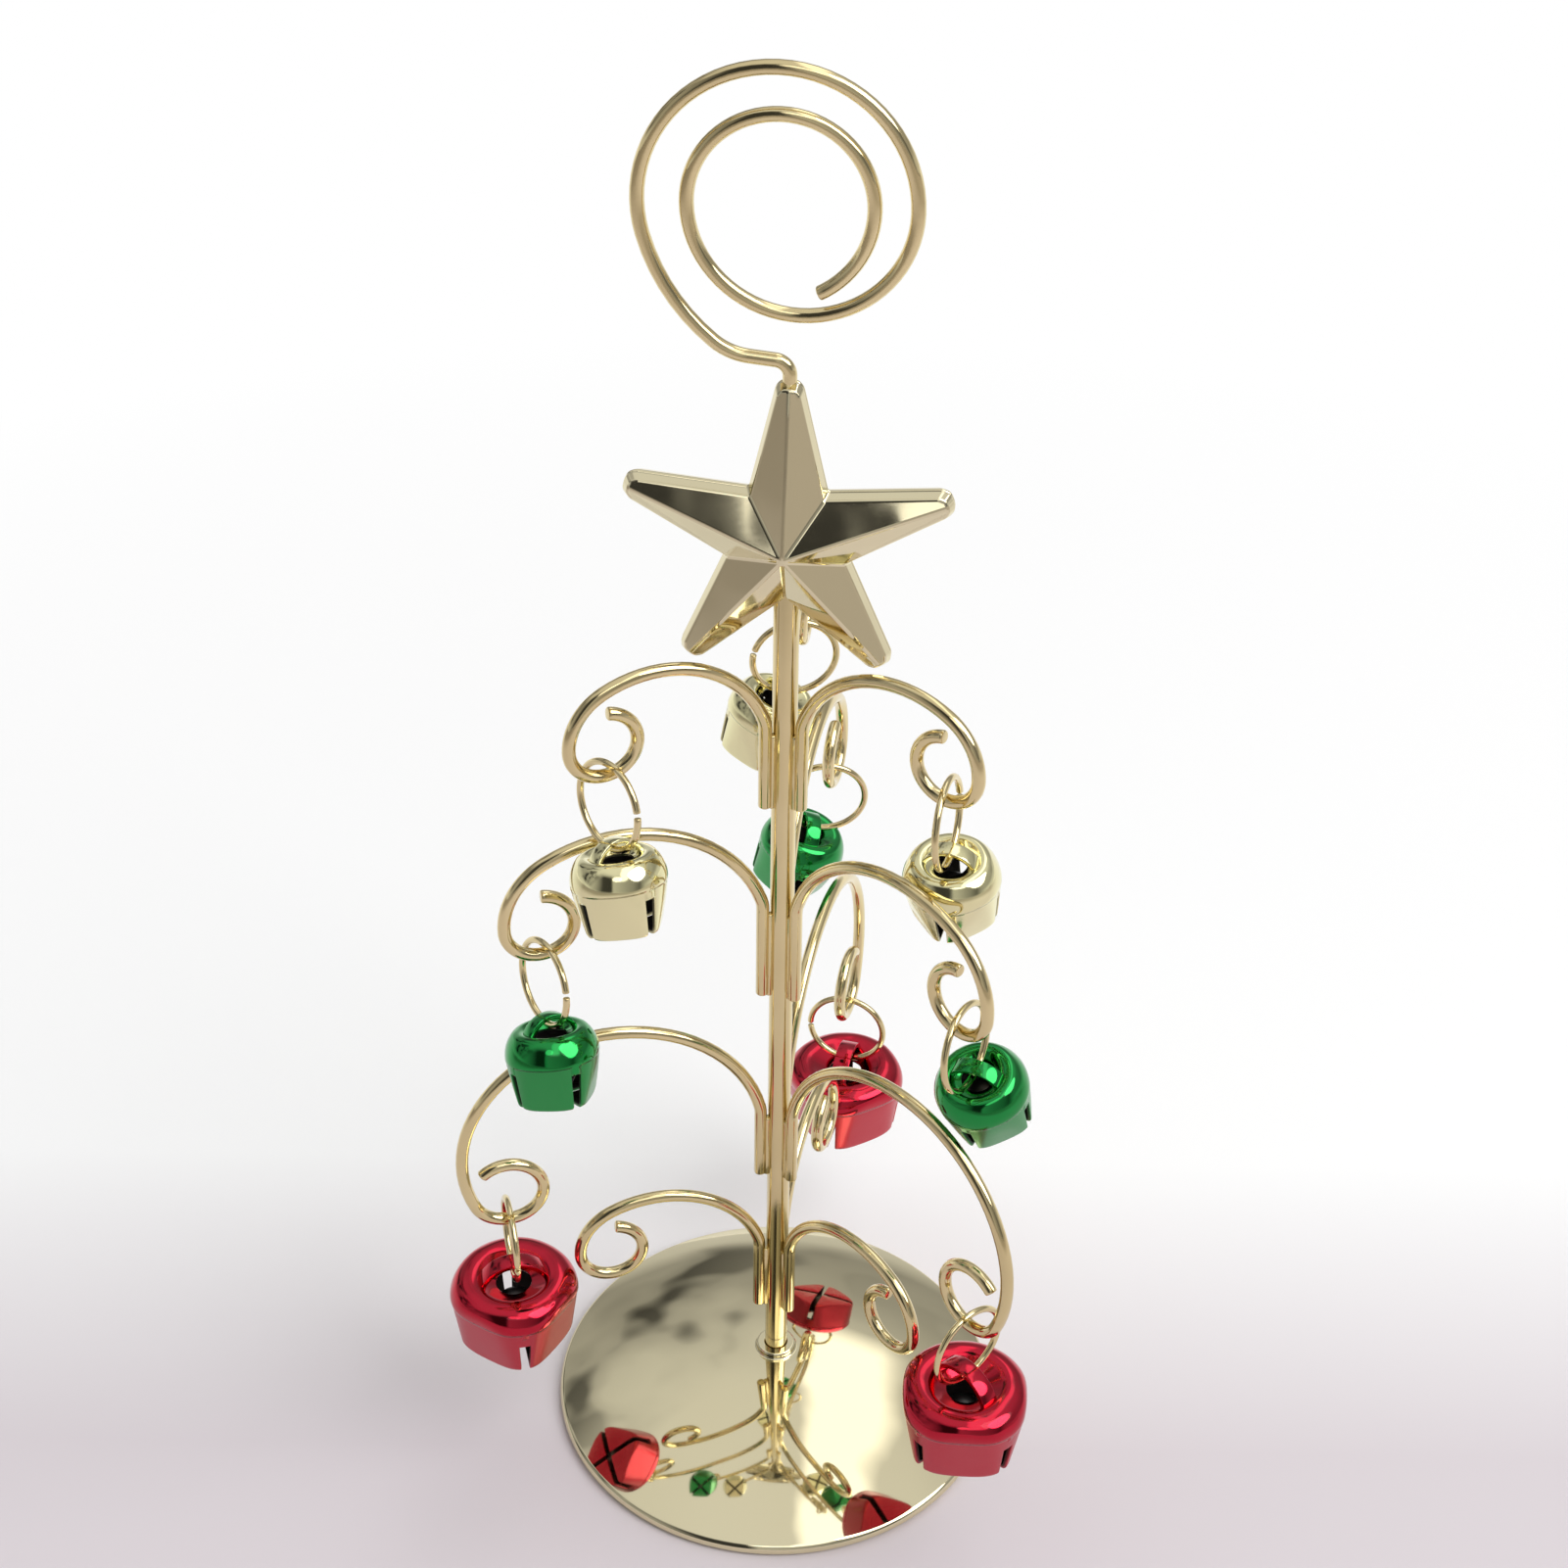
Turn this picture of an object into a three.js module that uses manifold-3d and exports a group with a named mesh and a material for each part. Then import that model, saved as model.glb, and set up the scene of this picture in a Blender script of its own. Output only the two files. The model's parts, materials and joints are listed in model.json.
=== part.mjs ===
// A tabletop card display tree: a domed foot, a stem, four tiers of bent wire arms with jingle bells
// on jump rings, a two-shell star and a spiral card clip. Millimetres, +Z up, the front faces -Y.
// The origin lies on the stem's axis at the level of the table.
import * as THREE from 'three';
import { mergeVertices } from 'three/addons/utils/BufferGeometryUtils.js';
import Module from 'manifold-3d';

// Clearances
const WELD_GAP = 0.15; // between pieces that are welded or soldered together
const LOOSE_GAP = 0.3; // between pieces that hang on each other
const REST_GAP = 0.4; // between a hanging bell and the arm below that it leans towards
const SWING_STEP = 0.5; // degrees, in the search for that lean
const SWING_LIMIT = 60;

// Base plate, pressed from sheet with a rolled rim and a drawn socket for the stem
const BASE_DIAMETER = 52.2;
const BASE_RISE = 6.9; // crown of the dome above the table
const BASE_SHEET = 0.8;
const RIM_BEAD = 1.7; // diameter of the rolled rim
const RIM_FLAT = 0.8; // width of the rim's flat foot
const RIM_CORNERS = [100, 45, -10, -55]; // degrees round the rolled rim
const COLLAR_RADIUS = 2.3; // raised collar round the stem
const COLLAR_HEIGHT = 0.7;
const COLLAR_SKIRT = 1.1; // how far the collar flares into the dome
const COLLAR_FILLET = { out: 0.37, up: 0.18 }; // corner of the flare
const SOCKET_WALL = 0.8;
const SOCKET_LENGTH = 4.4; // below the dome's underside

// Stem
const STEM_DIAMETER = 2.6;
const STEM_FOOT = 0.4; // end of the stem above the table
const STEM_IN_STAR = 3.2; // end of the stem below the star's centre

// Star, two pressed shells
const STAR_HEIGHT = 118.2; // its centre above the table
const STAR_TIP = 16.8; // centre to tip
const STAR_NOTCH = 6.6; // centre to notch
const STAR_TIP_WIDTH = 2.8; // width of a blunt tip
const STAR_TIP_ROUND = 0.7; // how far a tip bulges past its two corners
const STAR_DEPTH = 5.0; // seam to the apex of one shell
const STAR_EDGE_DEPTH = 1.3; // seam to the crease where the facets begin
const STAR_FLARE = 0.6; // slant of the edge wall
const STAR_SHEET = 0.6;
const STAR_APEX_SHEET = 0.9; // thickness at the apex
const STAR_TURN = -6; // about the stem, in degrees
const STAR_POINTS = 5;

// Card clip, one wire that leaves the star's upper tip and winds inwards
const CLIP_WIRE = 1.4;
const CLIP_IN_STAR = 12; // length of its leg inside the star
const CLIP_NECK_RADIUS = 1.5;
const CLIP_NECK_TURN = 85;
const CLIP_NECK_RUN = 2.5; // straight run from the neck to the spiral
const CLIP_TURNS = [[6, 35], [20, 35], [12.7, 195], [10.45, 180], [8.5, 180], [9.3, 62]]; // radius, degrees

// Arms, wires of three sizes: a straight leg along the stem, then bends of radius and degrees
const ARM_WIRE = 1.4;
const HANG_HEADING = -180; // at a curl's lowest place its wire runs back towards the stem
const SMALL_ARM = { leg: 9.5, bends: [[4, 18], [12.3, 98], [6.6, 64], [3.6, 262]] };
const MEDIUM_ARM = { leg: 11.5, bends: [[4, 18], [16.2, 100], [8.6, 64], [3.7, 264]] };
const LARGE_ARM = { leg: 9, bends: [[4, 13], [17.8, 87], [16, 102], [4, 292]] };

// Jump rings, cut open at one side
const RING_DIAMETER = 10.0;
const RING_WIRE = 0.75;
const RING_CUT = 0.5;

// Jingle bells: a round crown with an open, dished top under a strap, and a lower half of four flat-faced
// petals parted by slots at their corners. Depths count down from the crown. The flats are given by the
// width across them at the crown and at the foot. The hump lifts the ring wire's centre above the crown.
const SMALL_BELL = {
  diameter: 10.1, height: 8.0, wall: 0.5, mouth: 4.2, mouthDepth: 1.2, lip: 6.6,
  shoulder: 9.1, shoulderDepth: 0.9, crease: 2.9, foot: 8.8,
  flatTop: 12.2, flatFoot: 7.2, slot: 1.0, slotDepth: 4.0,
  strap: 1.7, strapReach: 2.7, strapSheet: 0.5, hump: 0.4, pellet: 4.6,
};
const LARGE_BELL = {
  diameter: 14.7, height: 9.4, wall: 0.6, mouth: 4.8, mouthDepth: 1.7, lip: 10.0,
  shoulder: 13.5, shoulderDepth: 0.8, crease: 2.5, foot: 12.8,
  flatTop: 14.6, flatFoot: 10.6, slot: 1.2, slotDepth: 4.8,
  strap: 2.0, strapReach: 3.4, strapSheet: 0.6, hump: 0.9, pellet: 5.4,
};

const GOLD = { color: 0xd8c384, metalness: 1, roughness: 0.12 };
const GREEN = { color: 0x1f8f3a, metalness: 1, roughness: 0.22 };
const RED = { color: 0xc32336, metalness: 1, roughness: 0.22 };
const STEEL = { color: 0xb9b7b0, metalness: 1, roughness: 0.3 };

// Tiers from the foot up: height of the first bend as a share of the way from the crown of the foot to
// the star's centre, the compass places of the arms, and how far the rings are twisted about their arms
const TIERS = [
  { name: 'bottom', arm: SMALL_ARM, share: 0.156, places: { left: 193.3, right: 311, back: 73.3 } },
  { name: 'lower', arm: LARGE_ARM, share: 0.339, places: { left: 194.6, right: 312, back: 74.6 },
    bell: LARGE_BELL, tint: RED, tintName: 'red', twist: 0 },
  { name: 'upper', arm: MEDIUM_ARM, share: 0.5975, places: { left: 197.3, right: 313, back: 77.3 },
    bell: SMALL_BELL, tint: GREEN, tintName: 'green', twist: 18 },
  { name: 'top', arm: SMALL_ARM, share: 0.803, places: { left: 204.3, right: 324.3, back: 84.3 },
    bell: SMALL_BELL, tint: GOLD, tintName: 'gold', twist: 18 },
];
const bendHeight = (tier) => THREE.MathUtils.lerp(BASE_RISE, STAR_HEIGHT, tier.share);

// Mesh fineness
const ROUND_SIDES = 14;
const WIRE_SIDES = 6;
const WIRE_STEP = 2.45;
const RING_STEPS = 16;
const BELL_SIDES = 16;
const FLATS = 4;
const BASE_SIDES = 36;
const BASE_RINGS = 4;
const STRAP_STEPS = 6;
const MERGE_DISTANCE = 1e-4;

const wasm = await Module();
wasm.setup();

// Solids for cuts and joins
function toSolid(geometry) {
  const bare = geometry.clone();
  bare.deleteAttribute('normal');
  bare.deleteAttribute('uv');
  const merged = mergeVertices(bare, MERGE_DISTANCE);
  const mesh = new wasm.Mesh({
    numProp: 3,
    vertProperties: new Float32Array(merged.attributes.position.array),
    triVerts: new Uint32Array(merged.index.array),
  });
  return new wasm.Manifold(mesh);
}

function toGeometry(solid) {
  const mesh = solid.getMesh();
  const geometry = new THREE.BufferGeometry();
  geometry.setAttribute('position', new THREE.BufferAttribute(mesh.vertProperties, 3));
  geometry.setIndex(new THREE.BufferAttribute(mesh.triVerts, 1));
  geometry.computeVertexNormals();
  return geometry;
}

// Skins a row of rings of points; an end ring of one point is a pole, and a closed row joins its ends
function loft(rings, closed = false) {
  const corners = [];
  const faces = [];
  const firsts = rings.map((ring) => {
    const first = corners.length / 3;
    ring.forEach((point) => corners.push(point.x, point.y, point.z));
    return first;
  });
  const pairs = closed ? rings.length : rings.length - 1;
  for (let i = 0; i < pairs; i += 1) {
    const next = (i + 1) % rings.length;
    const count = Math.max(rings[i].length, rings[next].length);
    for (let k = 0; k < count; k += 1) {
      const after = (k + 1) % count;
      const upperPole = rings[i].length === 1;
      const lowerPole = rings[next].length === 1;
      const a = firsts[i] + (upperPole ? 0 : k);
      const b = firsts[i] + (upperPole ? 0 : after);
      const c = firsts[next] + (lowerPole ? 0 : k);
      const d = firsts[next] + (lowerPole ? 0 : after);
      if (!lowerPole) faces.push(a, c, d);
      if (!upperPole) faces.push(a, d, b);
    }
  }
  const geometry = new THREE.BufferGeometry();
  geometry.setAttribute('position', new THREE.Float32BufferAttribute(corners, 3));
  geometry.setIndex(faces);
  geometry.computeVertexNormals();
  return geometry;
}

// A wire bent in the XZ plane: runs are straight lengths, or arcs that turn left where positive
class WirePath extends THREE.Curve {
  constructor(start, heading, runs) {
    super();
    this.runs = [];
    this.total = 0;
    let from = start.clone();
    let direction = THREE.MathUtils.degToRad(heading);
    for (const { straight, radius, turn } of runs) {
      const bend = THREE.MathUtils.degToRad(turn ?? 0);
      const length = straight ?? radius * Math.abs(bend);
      this.runs.push({ from, direction, bend, length, radius, begin: this.total });
      from = this.along(this.runs.at(-1), length);
      direction += bend;
      this.total += length;
    }
  }

  along({ from, direction, bend, length, radius }, distance) {
    if (!bend) {
      const step = new THREE.Vector3(Math.cos(direction), 0, Math.sin(direction));
      return step.multiplyScalar(distance).add(from);
    }
    const side = Math.sign(bend) * radius;
    const swept = direction + (bend * distance) / length;
    return new THREE.Vector3(
      from.x + side * (Math.sin(swept) - Math.sin(direction)),
      0,
      from.z - side * (Math.cos(swept) - Math.cos(direction)),
    );
  }

  getPoint(t, target = new THREE.Vector3()) {
    const distance = t * this.total;
    const run = this.runs.findLast((each) => each.begin <= distance) ?? this.runs[0];
    return target.copy(this.along(run, distance - run.begin));
  }

  // The place where the wire runs in a heading, found in the arc that passes through it
  atHeading(heading) {
    const wanted = THREE.MathUtils.degToRad(heading);
    const run = this.runs.find(({ direction, bend }) => bend
      && (wanted - direction) / bend >= 0 && (wanted - direction) / bend <= 1);
    return this.along(run, (run.length * (wanted - run.direction)) / run.bend);
  }
}

function wireGeometry(path, diameter, steps) {
  const corners = [];
  for (let k = 0; k < WIRE_SIDES; k += 1) {
    const angle = (2 * Math.PI * k) / WIRE_SIDES;
    corners.push(new THREE.Vector2(Math.cos(angle), Math.sin(angle)).multiplyScalar(diameter / 2));
  }
  return new THREE.ExtrudeGeometry(new THREE.Shape(corners), {
    steps: steps ?? Math.ceil(path.total / WIRE_STEP),
    extrudePath: path,
    bevelEnabled: false,
  });
}

function uprightRod(diameter, bottom, top) {
  const rod = new THREE.CylinderGeometry(diameter / 2, diameter / 2, top - bottom, ROUND_SIDES);
  return rod.rotateX(Math.PI / 2).translate(0, 0, (bottom + top) / 2);
}

const tree = new THREE.Group();

function addPiece(parent, name, geometry, look) {
  const mesh = new THREE.Mesh(geometry, new THREE.MeshStandardMaterial(look));
  mesh.name = name;
  parent.add(mesh);
  return mesh;
}

// Base plate: one turned profile of dome, rolled rim, open underside and socket
function baseGeometry() {
  const bead = RIM_BEAD / 2;
  const edge = BASE_DIAMETER / 2 - RIM_BEAD;
  const sag = BASE_RISE - bead;
  const domeRadius = (edge * edge + sag * sag) / (2 * sag);
  const domeCentre = BASE_RISE - domeRadius;
  const onDome = (r, sheet) => {
    const height = domeCentre + Math.sqrt((domeRadius - sheet) ** 2 - r * r);
    return new THREE.Vector2(r, height);
  };
  const bore = STEM_DIAMETER / 2 + WELD_GAP;
  const socket = bore + SOCKET_WALL;
  const skirt = COLLAR_RADIUS + COLLAR_SKIRT;
  const socketRoot = onDome(socket, BASE_SHEET);
  const profile = [
    new THREE.Vector2(bore, BASE_RISE + COLLAR_HEIGHT),
    new THREE.Vector2(COLLAR_RADIUS, BASE_RISE + COLLAR_HEIGHT),
    new THREE.Vector2(COLLAR_RADIUS + COLLAR_FILLET.out, BASE_RISE + COLLAR_FILLET.up),
  ];
  for (let k = 0; k <= BASE_RINGS; k += 1) {
    profile.push(onDome(skirt + ((edge - skirt) * k) / BASE_RINGS, 0));
  }
  for (const degrees of RIM_CORNERS) {
    const angle = THREE.MathUtils.degToRad(degrees);
    const out = edge + bead * (1 + Math.cos(angle));
    profile.push(new THREE.Vector2(out, bead * (1 + Math.sin(angle))));
  }
  profile.push(new THREE.Vector2(edge + bead + RIM_FLAT / 2, 0));
  profile.push(new THREE.Vector2(edge + bead - RIM_FLAT / 2, 0));
  const inner = edge - BASE_SHEET / 2;
  for (let k = 0; k < BASE_RINGS; k += 1) {
    profile.push(onDome(inner + ((socket - inner) * k) / BASE_RINGS, BASE_SHEET));
  }
  profile.push(socketRoot);
  profile.push(new THREE.Vector2(socket, socketRoot.y - SOCKET_LENGTH));
  profile.push(new THREE.Vector2(bore, socketRoot.y - SOCKET_LENGTH));
  profile.push(profile[0].clone());
  return new THREE.LatheGeometry(profile.reverse(), BASE_SIDES).rotateX(Math.PI / 2);
}
addPiece(tree, 'base_plate', baseGeometry(), GOLD);

addPiece(tree, 'stem_rod', uprightRod(STEM_DIAMETER, STEM_FOOT, STAR_HEIGHT - STEM_IN_STAR), GOLD);

// Star: one shell is skinned from its apex over the facets and edge wall and back inside
function starOutline(inset, depth) {
  const outline = [];
  for (let k = 0; k < STAR_POINTS; k += 1) {
    const angle = Math.PI / 2 + (2 * Math.PI * k) / STAR_POINTS;
    const ahead = new THREE.Vector3(Math.cos(angle), 0, Math.sin(angle));
    const aside = new THREE.Vector3(-Math.sin(angle), 0, Math.cos(angle));
    const tip = STAR_TIP - inset;
    const half = STAR_TIP_WIDTH / 2 - inset / 2;
    const shoulder = ahead.clone().multiplyScalar(tip - STAR_TIP_ROUND);
    const valley = angle + Math.PI / STAR_POINTS;
    const notch = new THREE.Vector3(Math.cos(valley), 0, Math.sin(valley));
    outline.push(
      shoulder.clone().addScaledVector(aside, -half),
      ahead.multiplyScalar(tip),
      shoulder.addScaledVector(aside, half),
      notch.multiplyScalar(STAR_NOTCH - inset),
    );
  }
  return outline.map((point) => point.setY(-depth));
}

function starShell() {
  const seam = WELD_GAP;
  const rings = [
    [new THREE.Vector3(0, -STAR_DEPTH, 0)],
    starOutline(STAR_FLARE, STAR_EDGE_DEPTH),
    starOutline(0, seam),
    starOutline(STAR_SHEET, seam),
    starOutline(STAR_FLARE + STAR_SHEET, STAR_EDGE_DEPTH - STAR_SHEET / 2),
    [new THREE.Vector3(0, -STAR_DEPTH + STAR_APEX_SHEET, 0)],
  ];
  const stemWay = uprightRod(STEM_DIAMETER + 2 * WELD_GAP, -2 * STAR_TIP, -STEM_IN_STAR + WELD_GAP);
  const clipWay = uprightRod(CLIP_WIRE + 2 * WELD_GAP, STAR_TIP - CLIP_IN_STAR - WELD_GAP, 2 * STAR_TIP);
  return toSolid(loft(rings)).subtract(toSolid(stemWay)).subtract(toSolid(clipWay));
}

const starGroup = new THREE.Group();
starGroup.position.z = STAR_HEIGHT;
starGroup.rotation.z = THREE.MathUtils.degToRad(STAR_TURN);
tree.add(starGroup);
const shellGeometry = toGeometry(starShell());
addPiece(starGroup, 'star_front', shellGeometry, GOLD);
addPiece(starGroup, 'star_back', shellGeometry, GOLD).rotation.z = Math.PI;

// Card clip: up out of the star's tip, a neck to the left, then the spiral to the right
const clipPath = new WirePath(new THREE.Vector3(0, 0, STAR_TIP - CLIP_IN_STAR), 90, [
  { straight: CLIP_IN_STAR },
  { radius: CLIP_NECK_RADIUS, turn: CLIP_NECK_TURN },
  { straight: CLIP_NECK_RUN },
  ...CLIP_TURNS.map(([radius, degrees]) => ({ radius, turn: -degrees })),
]);
addPiece(starGroup, 'card_clip', wireGeometry(clipPath, CLIP_WIRE), GOLD);

// Arms: the leg lies along the stem and every bend turns outwards and down
function armPath({ leg, bends }) {
  const start = new THREE.Vector3(STEM_DIAMETER / 2 + ARM_WIRE / 2 + WELD_GAP, 0, -leg);
  return new WirePath(start, 90, [
    { straight: leg },
    ...bends.map(([radius, degrees]) => ({ radius, turn: -degrees })),
  ]);
}

// Jump ring in the YZ plane, hanging from the origin, cut open on its side
const ringReach = (ARM_WIRE + RING_WIRE) / 2 + LOOSE_GAP; // arm wire to the ring wire above it
const ringPitch = RING_DIAMETER - RING_WIRE;
const ringDrop = ringPitch - ringReach; // arm wire to the ring wire under the bell's strap
const ringOpening = THREE.MathUtils.radToDeg(RING_CUT / (ringPitch / 2));

function ringGeometry() {
  const start = new THREE.Vector3(ringPitch / 2, 0, 0);
  const path = new WirePath(start, 90, [{ radius: ringPitch / 2, turn: 360 - ringOpening }]);
  const ring = wireGeometry(path, RING_WIRE, RING_STEPS);
  return ring.rotateZ(Math.PI / 2).translate(0, 0, ringReach - ringPitch / 2);
}

// Jingle bell, hanging from the ring wire at the origin
function bellRing(radius, height) {
  const ring = [];
  for (let k = 0; k < BELL_SIDES; k += 1) {
    const angle = (2 * Math.PI * k) / BELL_SIDES;
    ring.push(new THREE.Vector3(radius * Math.cos(angle), radius * Math.sin(angle), height));
  }
  return ring;
}

// A bell's outside, or set in by the wall its cavity: a turned body cut by four sloping flats
function bellBody(bell, inset, top) {
  const crown = -bell.hump;
  const floor = crown - bell.height + inset;
  const turned = loft([
    ...top,
    bellRing(bell.lip / 2, crown - inset),
    bellRing(bell.shoulder / 2 - inset, crown - bell.shoulderDepth - inset),
    bellRing(bell.diameter / 2 - inset, crown - bell.crease),
    bellRing(bell.foot / 2 - inset, floor),
    [new THREE.Vector3(0, 0, floor)],
  ]);
  const corner = (flat) => (flat / 2 - inset) * Math.SQRT2;
  const flats = new THREE.CylinderGeometry(corner(bell.flatTop), corner(bell.flatFoot), bell.height, FLATS);
  flats.rotateX(Math.PI / 2).translate(0, 0, crown - bell.height / 2);
  return toSolid(turned).intersect(toSolid(flats));
}

function bellSolid(bell) {
  const crown = -bell.hump;
  const dishPole = crown - (bell.mouthDepth * bell.lip) / (bell.lip - bell.mouth);
  const outside = bellBody(bell, 0, [[new THREE.Vector3(0, 0, dishPole)]]);
  const cavity = bellBody(bell, bell.wall, [
    [new THREE.Vector3(0, 0, crown)],
    bellRing(bell.mouth / 2, crown),
    bellRing(bell.mouth / 2, crown - bell.mouthDepth - bell.wall),
  ]);
  const slot = new THREE.BoxGeometry(2 * bell.diameter, bell.slot, bell.height);
  slot.translate(0, 0, crown - bell.slotDepth - bell.height / 2);
  const crossSlot = slot.clone().rotateZ(Math.PI / 2);
  const shell = outside.subtract(cavity).subtract(toSolid(slot)).subtract(toSolid(crossSlot));
  return shell.add(toSolid(strapGeometry(bell)));
}

// Strap over the mouth: a bowed band whose ends lie in the dish and whose underside clears the ring wire
function strapGeometry(bell) {
  const reach = bell.strapReach;
  const dish = (bell.mouthDepth * (bell.lip / 2 - reach)) / ((bell.lip - bell.mouth) / 2);
  const root = -bell.hump - dish - bell.wall;
  const under = RING_WIRE / 2 + LOOSE_GAP;
  const band = new THREE.Shape();
  band.moveTo(-reach, root);
  band.quadraticCurveTo(0, 2 * under - root, reach, root);
  band.lineTo(reach, root + bell.wall);
  band.quadraticCurveTo(0, 2 * (under + bell.strapSheet) - root - bell.wall, -reach, root + bell.wall);
  band.closePath();
  const strap = new THREE.ExtrudeGeometry(band, {
    depth: bell.strap,
    bevelEnabled: false,
    curveSegments: STRAP_STEPS,
  });
  return strap.translate(0, 0, -bell.strap / 2).rotateX(Math.PI / 2);
}

// The pellet lies on the petals, deep enough in the bell to bridge the slots
function pelletDepth(bell) {
  return bell.height - bell.wall - bell.pellet / 2 - LOOSE_GAP;
}

// Least swing at which a hanging bell and its ring clear the arm below them
function restSwing(tier, below, place, hinge) {
  const lowerArm = toSolid(wireGeometry(armPath(below.arm), ARM_WIRE));
  const obstacle = lowerArm.rotate([0, 0, below.places[place]]).translate([0, 0, bendHeight(below)]);
  const hanging = bellSolids.get(tier.bell).translate([0, 0, -ringDrop]).add(ringSolid);
  const twisted = hanging.rotate([0, 0, tier.twist]);
  for (let swing = 0; swing < SWING_LIMIT; swing += SWING_STEP) {
    const hung = twisted.rotate([swing, 0, 0]).translate([hinge.x, 0, hinge.z]);
    const placed = hung.rotate([0, 0, tier.places[place]]).translate([0, 0, bendHeight(tier)]);
    if (placed.minGap(obstacle, REST_GAP) >= REST_GAP) return swing;
  }
  return SWING_LIMIT;
}

const bellSolids = new Map([SMALL_BELL, LARGE_BELL].map((bell) => [bell, bellSolid(bell)]));
const ring = ringGeometry();
const ringSolid = toSolid(ring);

TIERS.forEach((tier, index) => {
  const path = armPath(tier.arm);
  const armShape = wireGeometry(path, ARM_WIRE);
  const hinge = path.atHeading(HANG_HEADING);
  for (const [place, degrees] of Object.entries(tier.places)) {
    const plane = new THREE.Group();
    plane.position.z = bendHeight(tier);
    plane.rotation.z = THREE.MathUtils.degToRad(degrees);
    tree.add(plane);
    addPiece(plane, `arm_${tier.name}_${place}`, armShape, GOLD);
    if (!tier.bell) continue;
    const hanger = new THREE.Group();
    hanger.position.copy(hinge);
    const swing = restSwing(tier, TIERS[index - 1], place, hinge);
    hanger.rotation.x = THREE.MathUtils.degToRad(swing);
    plane.add(hanger);
    const twisted = new THREE.Group();
    twisted.rotation.z = THREE.MathUtils.degToRad(tier.twist);
    hanger.add(twisted);
    const label = `${tier.tintName}_${place}`;
    addPiece(twisted, `ring_${label}`, ring, GOLD);
    const bellGroup = new THREE.Group();
    bellGroup.position.z = -ringDrop;
    twisted.add(bellGroup);
    addPiece(bellGroup, `bell_${label}`, toGeometry(bellSolids.get(tier.bell)), tier.tint);
    const pellet = new THREE.IcosahedronGeometry(tier.bell.pellet / 2, 1);
    pellet.translate(0, 0, -tier.bell.hump - pelletDepth(tier.bell));
    addPiece(bellGroup, `pellet_${label}`, pellet, STEEL);
  }
});

export default tree;
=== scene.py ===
"""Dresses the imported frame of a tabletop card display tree: foot, stem, star, clip, arms, rings and bells."""
import json
from math import acos, asin, atan, atan2, ceil, cos, degrees, hypot, pi, radians, sin, tan

import bmesh
import bpy
from bpy.props import FloatProperty, FloatVectorProperty, PointerProperty
from mathutils import Matrix, Vector


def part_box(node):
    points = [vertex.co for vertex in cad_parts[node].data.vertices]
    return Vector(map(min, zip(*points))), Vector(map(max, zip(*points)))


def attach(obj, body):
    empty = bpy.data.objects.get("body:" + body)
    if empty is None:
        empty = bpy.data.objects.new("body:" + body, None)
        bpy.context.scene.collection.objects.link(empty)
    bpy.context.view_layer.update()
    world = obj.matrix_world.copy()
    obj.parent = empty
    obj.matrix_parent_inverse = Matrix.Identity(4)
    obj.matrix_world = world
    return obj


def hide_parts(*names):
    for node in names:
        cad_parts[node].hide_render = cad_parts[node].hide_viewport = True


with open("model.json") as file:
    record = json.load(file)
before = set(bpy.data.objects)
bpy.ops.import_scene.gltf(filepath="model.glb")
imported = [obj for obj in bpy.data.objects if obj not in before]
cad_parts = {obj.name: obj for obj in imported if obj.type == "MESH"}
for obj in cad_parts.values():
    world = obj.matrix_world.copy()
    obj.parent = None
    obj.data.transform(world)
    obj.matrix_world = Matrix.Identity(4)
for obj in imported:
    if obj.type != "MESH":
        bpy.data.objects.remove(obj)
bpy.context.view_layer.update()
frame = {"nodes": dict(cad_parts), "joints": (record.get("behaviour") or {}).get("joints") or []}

bl_info = {
    "name": "Card Display Tree",
    "version": (1, 0, 0),
    "blender": (4, 5, 0),
    "location": "3D View > Sidebar > Card Tree",
    "description": "Builds the fine pieces of a card display tree over its packed frame",
    "category": "Object",
}

MM = 0.001
JOINTS = {joint["name"]: joint for joint in frame["joints"]}
BELL_LABELS = [name.removeprefix("bell_") for name in frame["nodes"] if name.startswith("bell_")]

WIRE_SIDES = 24
STEP_TURN = 5  # degrees of bend for each step of a wire or a profile
FOOT_STEPS = 144
BELL_STEPS = 96
SAME = 0.002 * MM  # points of a drawn shape that lie closer are one point
NEAR = 0.02 * MM  # points of a cut shell that lie closer are one point
LEVEL_TURN = radians(1)  # faces that turn by less are one face
WHITE = (1, 1, 1)
MIX_SHARE, MIX_FIRST, MIX_SECOND, MIX_RESULT = 0, 6, 7, 2  # a Mix node's sockets for colours


# Properties

def length(name, description, millimetres):
    return FloatProperty(
        name=name, description=description, default=millimetres * MM,
        subtype="DISTANCE", unit="LENGTH", precision=5,
    )


def share(name, description, value):
    return FloatProperty(name=name, description=description, default=value, min=0, max=1)


def turn(name, description, value):
    return FloatProperty(
        name=name, description=description, default=radians(value), subtype="ANGLE", unit="ROTATION",
    )


def bends(name, description, values):
    return FloatVectorProperty(name=name, description=description, size=len(values), default=values)


def colour(name, description, value):
    return FloatVectorProperty(
        name=name, description=description, size=3, default=value, subtype="COLOR", min=0, max=1,
    )


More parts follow.
